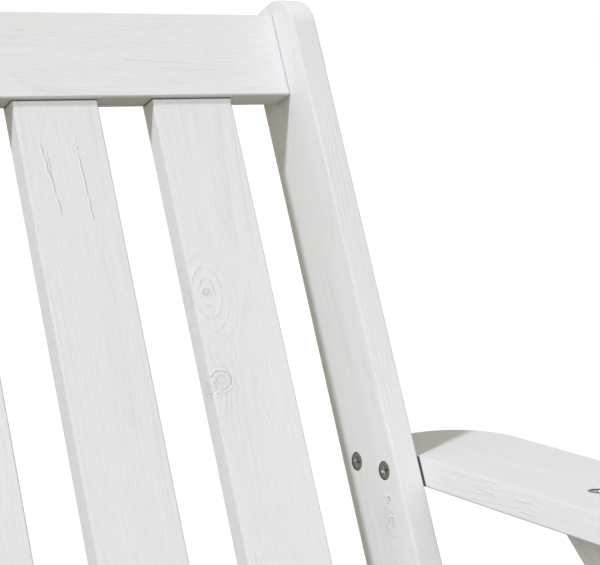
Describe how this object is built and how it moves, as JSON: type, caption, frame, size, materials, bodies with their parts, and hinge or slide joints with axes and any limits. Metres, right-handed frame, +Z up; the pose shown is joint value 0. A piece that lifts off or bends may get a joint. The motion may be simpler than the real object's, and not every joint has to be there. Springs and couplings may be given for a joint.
{
  "type": "adirondack chair",
  "caption": "Low wooden garden chair with a reclined slatted back, broad level arms on legs and diagonal braces, and a sloping slatted seat on two long side rails.",
  "frame": {"origin": "on the ground under the middle of the chair's box", "axes": "+Z up, the chair faces -Y, and the sitter's left is +X"},
  "size_m": [0.7906, 0.925, 0.9003],
  "materials": {
    "pine_back": "thin matt white stain over pine, grain showing",
    "pine_arms": "thin matt white stain over pine, grain showing",
    "pine_legs": "thin matt white stain over pine, grain showing",
    "pine_seat": "thin matt white stain over pine, grain showing",
    "screw_steel": "dull zinc-plated steel, dark in the driver socket"
  },
  "bodies": {
    "root": {"back_stile_left": "pine_back", "arm_left": "pine_arms", "front_leg_left": "pine_legs", "arm_brace_left": "pine_legs", "side_rail_left": "pine_legs", "back_stile_right": "pine_back", "arm_right": "pine_arms", "front_leg_right": "pine_legs", "arm_brace_right": "pine_legs", "side_rail_right": "pine_legs", "back_top_rail": "pine_back", "back_bottom_rail": "pine_back", "back_slat_1": "pine_back", "back_slat_2": "pine_back", "back_slat_3": "pine_back", "back_slat_4": "pine_back", "seat_slat_1": "pine_seat", "seat_slat_2": "pine_seat", "seat_slat_3": "pine_seat", "seat_slat_4": "pine_seat", "seat_slat_5": "pine_seat", "seat_slat_6": "pine_seat", "front_apron": "pine_legs", "middle_stretcher": "pine_legs", "rear_stretcher": "pine_legs", "arm_to_stile_screw_left_1": "screw_steel", "arm_to_stile_screw_left_2": "screw_steel", "arm_to_brace_screw_left_1": "screw_steel", "arm_to_brace_screw_left_2": "screw_steel", "arm_to_leg_screw_left_1": "screw_steel", "arm_to_leg_screw_left_2": "screw_steel", "leg_to_rail_screw_left_1": "screw_steel", "leg_to_rail_screw_left_2": "screw_steel", "brace_to_rail_screw_left_1": "screw_steel", "brace_to_rail_screw_left_2": "screw_steel", "stile_to_rail_screw_left_1": "screw_steel", "stile_to_rail_screw_left_2": "screw_steel", "back_top_rail_screw_left": "screw_steel", "back_bottom_rail_screw_left": "screw_steel", "apron_screw_left": "screw_steel", "middle_stretcher_screw_left": "screw_steel", "rear_stretcher_screw_left": "screw_steel", "arm_to_stile_screw_right_1": "screw_steel", "arm_to_stile_screw_right_2": "screw_steel", "arm_to_brace_screw_right_1": "screw_steel", "arm_to_brace_screw_right_2": "screw_steel", "arm_to_leg_screw_right_1": "screw_steel", "arm_to_leg_screw_right_2": "screw_steel", "leg_to_rail_screw_right_1": "screw_steel", "leg_to_rail_screw_right_2": "screw_steel", "brace_to_rail_screw_right_1": "screw_steel", "brace_to_rail_screw_right_2": "screw_steel", "stile_to_rail_screw_right_1": "screw_steel", "stile_to_rail_screw_right_2": "screw_steel", "back_top_rail_screw_right": "screw_steel", "back_bottom_rail_screw_right": "screw_steel", "apron_screw_right": "screw_steel", "middle_stretcher_screw_right": "screw_steel", "rear_stretcher_screw_right": "screw_steel"}
  },
  "joints": []
}
